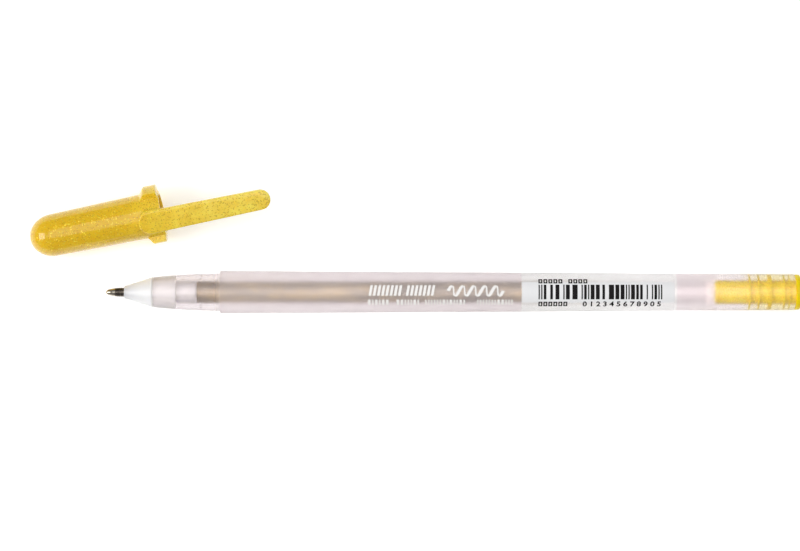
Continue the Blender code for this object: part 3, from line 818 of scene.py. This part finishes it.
def make_ball(name, node, body, slot, mat):
    """A ball in the place of its CAD node."""
    low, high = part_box(node)
    bm = bmesh.new()
    bmesh.ops.create_icosphere(bm, subdivisions=5, radius=(high.z - low.z) / 2)
    piece = finish_mesh(name, bm, [mat], Matrix.Translation((low + high) / 2))
    keep(piece, body, slot, node)


def make_refill():
    """The tube, the ink that shortens as it is used, and the grease that follows it."""
    tube = [(TUBE_RADIUS, TUBE_REAR_AT), (TUBE_RADIUS, TUBE_FRONT_AT),
            (TUBE_BORE_RADIUS, TUBE_FRONT_AT), (TUBE_BORE_RADIUS, TUBE_REAR_AT)]
    piece = turned("refill_tube", tube, PEN, [tube_plastic()], fillet=0.06 * MM, hollow=True)
    keep(piece, "pen", "tube_plastic", "ink_tube")
    ink = [(0, INK_REAR_AT), (INK_RADIUS, INK_REAR_AT), (INK_RADIUS, INK_FRONT_AT), (0, INK_FRONT_AT)]
    piece = turned("gold_gel", ink, PEN, [gold_ink()], fillet=0.06 * MM)
    keep(piece, "pen", "ink", "gel_ink")
    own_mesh(piece)
    grease = [(0, GREASE_REAR_AT - GREASE_DISH_DEPTH),
              (INK_RADIUS * 0.6, GREASE_REAR_AT - GREASE_DISH_DEPTH * 0.625),
              (INK_RADIUS, GREASE_REAR_AT), (INK_RADIUS, GREASE_FRONT_AT), (0, GREASE_FRONT_AT)]
    piece = turned("grease_plug", grease, PEN, [follower_grease()], fillet=0.12 * MM)
    keep(piece, "follower", "grease", "ink_follower")


def make_plug():
    """The end plug: a flange with a rounded edge, and a ribbed stem with a rounded nose."""
    flange, nose = PLUG_FLANGE_ROUNDING, PLUG_NOSE_ROUNDING
    profile = [(0, PLUG_REAR_AT)]
    profile += arc(PLUG_FLANGE_RADIUS - flange, PLUG_REAR_AT - flange, flange, flange, pi / 2, 0, EDGE_STEPS)
    profile += [(PLUG_FLANGE_RADIUS, PLUG_FLANGE_FRONT_AT), (PLUG_STEM_RADIUS, PLUG_FLANGE_FRONT_AT)]
    for station, length in reversed(PLUG_RIBS):
        rear, front = station + length / 2, station - length / 2
        profile += [(PLUG_STEM_RADIUS, rear), (PLUG_RIB_RADIUS, rear), (PLUG_RIB_RADIUS, front),
                    (PLUG_STEM_RADIUS, front)]
    profile += arc(PLUG_STEM_RADIUS - nose, PLUG_FRONT_AT + nose, nose, nose, 0, -pi / 2, EDGE_STEPS)
    profile.append((0, PLUG_FRONT_AT))
    piece = turned("plug_moulding", profile, PEN, [yellow_plastic()], fillet=0.05 * MM)
    keep(piece, "pen", "plug_plastic", "end_plug")


# ---- cap


def soft_step(value, low, high):
    """0 below low, 1 above high, and smooth between, so that an edge made with it is rounded."""
    share = min(max((value - low) / (high - low), 0), 1)
    return share * share * (3 - 2 * share)


def lug_rise(angle, station):
    """How far the cap's wall is raised towards the top of a lug, from 0 to 1."""
    if station >= 0:
        return 0
    off = min(abs(remainder(angle - side, 2 * pi)) for side in LUG_SIDES)
    sides = 1 - soft_step(off, LUG_HALF_ANGLE - LUG_EDGE_ANGLE, LUG_HALF_ANGLE + LUG_EDGE_ANGLE)
    front = soft_step(-station, -LUG_FRONT_EDGE[0], -LUG_FRONT_EDGE[1])
    return sides * front * soft_step(station, *LUG_SLOPE)


def cap_angles():
    """Angles round the cap, closer together at the sides of the lugs."""
    angles = [2 * pi * i / ROUND_STEPS for i in range(ROUND_STEPS)]
    fine, closest = radians(0.4), radians(0.2)
    for side in LUG_SIDES:
        for way in (-1, 1):
            for i in range(-5, 6):
                angles.append((side + way * LUG_HALF_ANGLE + fine * i) % (2 * pi))
    angles.sort()
    kept = []
    for angle in angles:
        if not kept or angle - kept[-1] > closest:
            kept.append(angle)
    return kept


def cap_stations():
    """Stations along the outside of the cap from its rim to its dome, closer together at the lugs."""
    # First and last station of each stretch, and the steps between them
    stretches = ((LUG_FRONT_AT + 0.14 * MM, LUG_FRONT_AT - 0.18 * MM, 8),
                 (LUG_FRONT_AT - 0.30 * MM, LUG_REAR_AT + 0.40 * MM, 6),
                 (LUG_REAR_AT + 0.30 * MM, LUG_SLOPE_AT - 0.20 * MM, 16),
                 (LUG_SLOPE_AT - 0.50 * MM, CAP_REAR_AT + CAP_DOME_LENGTH, 20))
    stations = []
    for first, last, steps in stretches:
        stations += [between(first, last, i / steps) for i in range(steps + 1)]
    return stations[:-1]


def make_cap(mat):
    """The cap: a domed shell with a lug each side of the clip, raised from its wall in one surface."""
    dome = CAP_REAR_AT + CAP_DOME_LENGTH
    edge, small_edge = CAP_RIM_EDGE, CAP_RIM_EDGE * 0.4
    bore_rim = CAP_RIM_RADIUS - CAP_WALL
    bore_end = CAP_DOME_RADIUS - CAP_WALL
    rim = arc(bore_rim + edge, -edge, edge, edge, pi, pi / 2, 4)
    outside = arc(CAP_RIM_RADIUS - small_edge, -small_edge, small_edge, small_edge, pi / 2, 0, 3)
    outside += [(cap_radius(station), station) for station in cap_stations()]
    outside += arc(0, dome, CAP_DOME_RADIUS, CAP_DOME_LENGTH, 0, -pi / 2, 32)
    inside = arc(0, dome, bore_end, CAP_DOME_LENGTH - CAP_DOME_WALL, -pi / 2, 0, 24)
    inside += [(between(bore_end, bore_rim, i / 8), between(dome, -edge, i / 8)) for i in range(1, 8)]
    angles = cap_angles()
    bm = bmesh.new()
    rings = []
    for outline, raised in ((rim, 0), (outside, 1), (inside, 0)):
        for radius, station in outline:
            if radius < ON_AXIS:
                rings.append([bm.verts.new((0, 0, station))])
                continue
            ring = []
            for angle in angles:
                r = radius + raised * (LUG_RADIUS - radius) * lug_rise(angle, station)
                ring.append(bm.verts.new((r * cos(angle), r * sin(angle), station)))
            rings.append(ring)
    bridge(bm, rings, closed=True)
    piece = finish_mesh("cap_moulding", bm, [mat], CAP, sharp=70)
    keep(piece, "cap", "cap_plastic", "cap_shell")


def clip_ring(inset):
    """The clip's outline seen from above, drawn in by inset, as (across, station) points.

    It goes round the end, along one side, round the root and back. Every inset gives as many points.
    """
    root_half, end_half = CLIP_ROOT_WIDTH / 2, CLIP_END_WIDTH / 2
    root_centre, end_centre = CLIP_ROOT_AT + root_half, CLIP_END_AT - end_half
    straight_steps, round_steps = 60, 24
    drawn_in = 1 - inset / root_half
    sides = ((0, end_half, root_half, end_centre, root_centre),
             (pi, root_half, end_half, root_centre, end_centre))
    points = []
    for turn, near_half, far_half, near_centre, far_centre in sides:
        r = near_half * drawn_in
        for i in range(round_steps):
            angle = turn + pi * i / round_steps
            points.append((r * cos(angle), near_centre + r * sin(angle)))
        for i in range(straight_steps):
            share = i / straight_steps
            half = between(near_half, far_half, share) * drawn_in
            points.append((-half * cos(turn), between(near_centre, far_centre, share)))
    return points


def clip_underside(across, station):
    """The height of the clip's underside above the cap's axis.

    It is flat, with a nub near its end, and sunk into the cap at its root.
    """
    off = hypot(across, station - NUB_AT) / NUB_RADIUS
    nub = NUB_DROP * sqrt(1 - off * off) if off < 1 else 0
    saddle = sqrt(CLIP_SUNK_RADIUS ** 2 - across ** 2)
    over_cap = 1 - soft_step(station, CLIP_ROOT_END_AT - CLIP_ROOT_FADE,
                             CLIP_ROOT_END_AT + CLIP_ROOT_FADE)
    return between(CLIP_UNDERSIDE - nub, saddle, over_cap)


def make_clip(mat):
    """The clip: a bar with rounded edges and half-round ends that grows out of the cap at its root.

    Its rings go from the middle of its underside, round its edges, to the middle of its top. Each has an
    inset, a height, and whether that height counts from the underside or from the cap's axis.
    """
    top = CLIP_UNDERSIDE + CLIP_THICKNESS
    half = CLIP_ROOT_WIDTH / 2
    flat_steps, edge_steps = 9, 6
    turns = [pi / 2 * i / edge_steps for i in range(edge_steps + 1)]
    layers = []
    for i in range(flat_steps, -1, -1):
        layers.append((between(CLIP_EDGE, half, i / flat_steps), 0, True))
    for turn in turns[1:]:
        layers.append((CLIP_EDGE * (1 - sin(turn)), CLIP_EDGE * (1 - cos(turn)), True))
    for turn in turns:
        height = top - CLIP_CROWN - CLIP_EDGE * (1 - sin(turn))
        layers.append((CLIP_EDGE * (1 - cos(turn)), height, False))
    for i in range(1, flat_steps + 1):
        share = i / flat_steps
        layers.append((between(CLIP_EDGE, half, share), top - CLIP_CROWN * (1 - share) ** 2, False))
    bm = bmesh.new()
    rings = []
    for inset, height, on_underside in layers:
        ring = []
        for across, station in clip_ring(inset):
            level = height + clip_underside(across, station) if on_underside else height
            ring.append(bm.verts.new((level, across, station)))
        rings.append(ring)
    bridge(bm, rings)
    bmesh.ops.remove_doubles(bm, verts=bm.verts, dist=0.004 * MM)
    piece = finish_mesh("clip_moulding", bm, [mat], CAP, sharp=70)
    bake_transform(piece)
    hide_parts("cap_clip")


def make_seal():
    """The pad in the bottom of the cap, with a dimple for the writing point."""
    rear = CAP_REAR_AT + CAP_DOME_WALL + SEAL_THICKNESS / 2
    front = rear + SEAL_THICKNESS
    profile = [(0, front - SEAL_DIMPLE_DEPTH), (SEAL_DIMPLE_RADIUS * 0.6, front - SEAL_DIMPLE_DEPTH * 0.7),
               (SEAL_DIMPLE_RADIUS, front), (SEAL_RADIUS, front), (SEAL_RADIUS - SEAL_THICKNESS / 2, rear),
               (0, rear)]
    piece = turned("seal_pad", profile, CAP, [seal_rubber()], fillet=0.12 * MM)
    keep(piece, "cap", "seal_rubber", "tip_seal")


# ---- label and print


def wrapped(name, shapes, mat, lift, thickness=PRINT_THICKNESS):
    """Flat shapes wrapped round the barrel: each is a list of (station, across) points, across towards +Y.

    Across is measured along the barrel's surface. The shapes become thin closed solids.
    """
    bm = bmesh.new()
    for shape in shapes:
        bm.faces.new([bm.verts.new((station, across, 0)) for station, across in shape])
    lowest = min(v.co.y for v in bm.verts)
    highest = max(v.co.y for v in bm.verts)
    cuts = ceil((highest - lowest) / WRAP_STEP)
    for i in range(1, cuts):
        level = between(lowest, highest, i / cuts)
        geometry = bm.verts[:] + bm.edges[:] + bm.faces[:]
        bmesh.ops.bisect_plane(bm, geom=geometry, dist=1e-8, plane_co=(0, level, 0), plane_no=(0, 1, 0))
    raised = bmesh.ops.extrude_face_region(bm, geom=bm.faces[:])
    for item in raised["geom"]:
        if isinstance(item, bmesh.types.BMVert):
            item.co.z = thickness
    for v in bm.verts:
        station, across = seen_at(v.co.x), v.co.y
        surface = barrel_radius(station)
        angle = across / surface
        radius = surface + lift + v.co.z
        v.co = Vector((radius * cos(angle), -radius * sin(angle), station))
    piece = finish_mesh(name, bm, [mat], PEN, sharp=30)
    keep(piece, "pen", "label")
    return piece


def box_shape(first, last, low, high):
    return [(first, low), (last, low), (last, high), (first, high)]


def round_box(first, last, low, high, radius, steps=5):
    """A rectangle with rounded corners."""
    points = []
    corners = ((last - radius, high - radius, 0), (first + radius, high - radius, 90),
               (first + radius, low + radius, 180), (last - radius, low + radius, 270))
    for station, across, turn in corners:
        for i in range(steps + 1):
            angle = radians(turn + 90 * i / steps)
            points.append((station + radius * cos(angle), across + radius * sin(angle)))
    return points


def seen_at(station):
    """The real station of what looks to be at station: it stands nearer to the camera than the axis does."""
    return CAMERA_AT + (station - CAMERA_AT) * (1 - LABEL_RISE / CAMERA_HEIGHT)


def off_axis(distance, station=LABEL_AT):
    """The place across the barrel's surface of what looks distance off the axis from above."""
    surface = barrel_radius(station)
    return surface * asin(distance / surface)


def digit_shapes(middle):
    """The outlines of a row of generic digits, in Blender's own font made a little bolder."""
    curve = bpy.data.curves.new("digits", "FONT")
    curve.body = "0 1 2 3 4 5 6 7 8 9 0 5"
    curve.resolution_u = 3
    curve.offset = 0.028
    holder = bpy.data.objects.new("digits", curve)
    mesh = bpy.data.meshes.new_from_object(holder)
    xs = [v.co.x for v in mesh.vertices]
    ys = [v.co.y for v in mesh.vertices]
    left, width = min(xs), max(xs) - min(xs)
    low, tall = min(ys), max(ys) - min(ys)
    shapes = []
    for polygon in mesh.polygons:
        shapes.append([(between(DIGITS_FIRST, DIGITS_LAST, (xs[index] - left) / width),
                        middle + DIGIT_HEIGHT * ((ys[index] - low) / tall - 0.5))
                       for index in polygon.vertices])
    bpy.data.objects.remove(holder)
    return shapes


def bar_shapes():
    """A made-up bar pattern: bars and gaps one to four modules wide, with a thin pair at each end."""
    rng = random.Random(11)
    bar_widths, gap_widths = (1, 1, 2, 2, 3, 4), (1, 1, 1, 2, 3)
    widths = [1, 1, 1, 1]
    while sum(widths) < BAR_MODULES - 4:
        widths.append(rng.choice(bar_widths if len(widths) % 2 == 0 else gap_widths))
    widths += [1, 1, 1] if len(widths) % 2 == 0 else [1, 1, 1, 1]
    module = (BARS_LAST - BARS_FIRST) / sum(widths)
    shapes = []
    station = BARS_FIRST
    middle, half = off_axis(BARS_MIDDLE), off_axis(BARS_HALF_HEIGHT)
    for i, width in enumerate(widths):
        if i % 2 == 0:
            shapes.append(box_shape(station, station + width * module, middle - half, middle + half))
        station += width * module
    return shapes


def box_row(first, count, height, middle):
    """A row of small empty boxes, each drawn with four strokes."""
    shapes = []
    low, high = middle - height / 2, middle + height / 2
    for i in range(count):
        left = first + i * BOX_PITCH
        right = left + BOX_WIDTH
        shapes.append(box_shape(left, right, low, low + BOX_LINE))
        shapes.append(box_shape(left, right, high - BOX_LINE, high))
        shapes.append(box_shape(left, left + BOX_LINE, low + BOX_LINE, high - BOX_LINE))
        shapes.append(box_shape(right - BOX_LINE, right, low + BOX_LINE, high - BOX_LINE))
    return shapes


def make_label():
    """The label: clear film, a white panel on it, and black bars, digits and boxes on that.

    Each layer sinks a little into the one below it, so that no gap is left between them.
    """
    half = LABEL_HALF_ANGLE * barrel_radius(LABEL_AT)
    film = round_box(LABEL_FRONT_AT, LABEL_REAR_AT, -half, half, FILM_CORNER)
    piece = wrapped("label_sheet", [film], label_film(), LABEL_LIFT, LABEL_THICKNESS)
    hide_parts("barcode_label")
    lift = LABEL_LIFT + LABEL_THICKNESS - PANEL_SINK
    panel_half = off_axis(PANEL_HALF_WIDTH)
    panel = round_box(PANEL_FIRST, PANEL_LAST, -panel_half, panel_half, PANEL_CORNER)
    white = print_ink("label_white", (0.88, 0.88, 0.89), (0.92, 0.92, 0.93), 0.42, thin=True)
    wrapped("label_panel", [panel], white, lift)
    black = print_ink("label_black", (0.010, 0.009, 0.010), (0.022, 0.020, 0.021), 0.60, gloss=0.04,
                      thin=True)
    lift += PRINT_THICKNESS - BLACK_SINK
    wrapped("label_bars", bar_shapes(), black, lift)
    low_row, high_row = off_axis(LOW_ROW), off_axis(HIGH_ROW)
    wrapped("label_digits", digit_shapes(low_row), black, lift)
    marks = box_row(BARS_FIRST, 5, HIGH_BOX_HEIGHT, high_row)
    marks += box_row(SECOND_BOXES_FIRST, 4, HIGH_BOX_HEIGHT, high_row)
    marks += box_row(BARS_FIRST, 6, LOW_BOX_HEIGHT, low_row)
    wrapped("label_marks", marks, black, lift)


def wave_shapes(middle):
    """A brush-stroke wave, thick as it rises and thin as it falls."""
    steps = WAVE_CRESTS * WAVE_STEPS
    points = []
    for i in range(steps + 1):
        share = i / steps
        turn = share * WAVE_CRESTS * 2 * pi
        station = between(WAVE_FIRST, WAVE_LAST, share) + WAVE_LEAN * sin(turn)
        across = middle + WAVE_HEIGHT / 2 * sin(turn)
        points.append((station, across, between(WAVE_THIN, WAVE_THICK, 0.5 + 0.5 * cos(turn))))
    slant = 0.3
    shapes = []
    for (s0, a0, w0), (s1, a1, w1) in zip(points, points[1:]):
        shapes.append([(s0 - w0, a0 + w0 * slant), (s0 + w0, a0 - w0 * slant),
                       (s1 + w1, a1 - w1 * slant), (s1 - w1, a1 + w1 * slant)])
    return shapes


def make_print():
    """White print on the barrel: leaning blocks, a wave and a row of ticks, where the real one has words."""
    white = print_ink("print_white", (0.96, 0.94, 0.91), (0.99, 0.98, 0.96), 0.40)
    middle = off_axis(BLOCK_ROW, PRINT_AT)
    low, high = middle - BLOCK_HALF_HEIGHT, middle + BLOCK_HALF_HEIGHT
    blocks = []
    for first, count in BLOCK_GROUPS:
        for i in range(count):
            left = first + i * BLOCK_PITCH
            right = left + BLOCK_WIDTH
            blocks.append([(left, low), (right, low), (right + BLOCK_LEAN, high), (left + BLOCK_LEAN, high)])
    wrapped("print_blocks", blocks, white, 0)
    wrapped("print_wave", wave_shapes(off_axis(WAVE_ROW, PRINT_AT)), white, 0)
    row = off_axis(TICK_ROW, PRINT_AT)
    rng = random.Random(5)
    ticks = []
    for first, last in TICK_GROUPS:
        station = first
        while station < last:
            width = rng.choice(TICK_WIDTHS)
            ticks.append(round_box(station, station + width, row - TICK_HALF_HEIGHT, row + TICK_HALF_HEIGHT,
                                   TICK_CORNER, 3))
            station += width + TICK_GAP
    wrapped("print_dashes", ticks, white, 0)


# ---- stage


def make_stage():
    """A pale floor that glows a little, and soft light from above and from the left."""
    bpy.ops.mesh.primitive_plane_add(size=4, location=(0, 0, cad_low.z))
    floor = bpy.context.object
    floor.name = "floor"
    n = Nodes("floor_white")
    n.colour(n.shades(n.noise(3, detail=1), (0.93, 0.93, 0.93), (0.95, 0.95, 0.95)))
    n.set(Roughness=0.9, Specular_IOR_Level=0.0, Emission_Color=(1, 1, 1, 1), Emission_Strength=0.35)
    floor.data.materials.append(n.material)

    world = bpy.data.worlds.new("studio")
    world.use_nodes = True
    background = world.node_tree.nodes["Background"]
    background.inputs["Color"].default_value = (1, 1, 1, 1)
    background.inputs["Strength"].default_value = 0.25
    bpy.context.scene.world = world

    add_light("overhead", place=(0.03, 0.05, 0.65), size=0.7, power=2.46)
    add_light("key", place=(-0.55, -0.05, 0.40), size=0.34, power=2.0)

    scene = bpy.context.scene
    scene.view_settings.view_transform = "Standard"
    # Lamps' light crosses more surfaces than usual on its way through the label, the barrel and the tube
    scene.cycles.transparent_max_bounces = 24


def add_light(name, place, size, power):
    """A square lamp, size metres wide, that looks at the middle of the floor."""
    data = bpy.data.lights.new(name, "AREA")
    data.shape = "SQUARE"
    data.size = size
    data.energy = power
    light = shown(name, data)
    light.location = place
    light.rotation_euler = (-Vector(place)).to_track_quat("-Z", "Y").to_euler()


def make_camera():
    """A long lens looking straight down, at the height that gives the pen its length in the picture."""
    data = bpy.data.cameras.new("camera")
    data.lens = 110
    data.sensor_width = 36
    data.clip_start = 0.01
    camera = shown("camera", data)
    camera.location = (POINT.x + CAMERA_AT, POINT.y + CAMERA_SIDE, POINT.z + CAMERA_HEIGHT)
    bpy.context.scene.camera = camera


make_camera()
make_stage()
make_barrel()
make_nose_cone()
make_tip()
make_ball("rolling_ball", "writing_ball", "ball", "ball_metal", ball_metal())
make_ball("valve_ball", "check_ball", "valve", "valve_metal", valve_metal())
make_refill()
make_plug()
gold = glitter_gold()
make_cap(gold)
make_clip(gold)
make_seal()
make_label()
make_print()
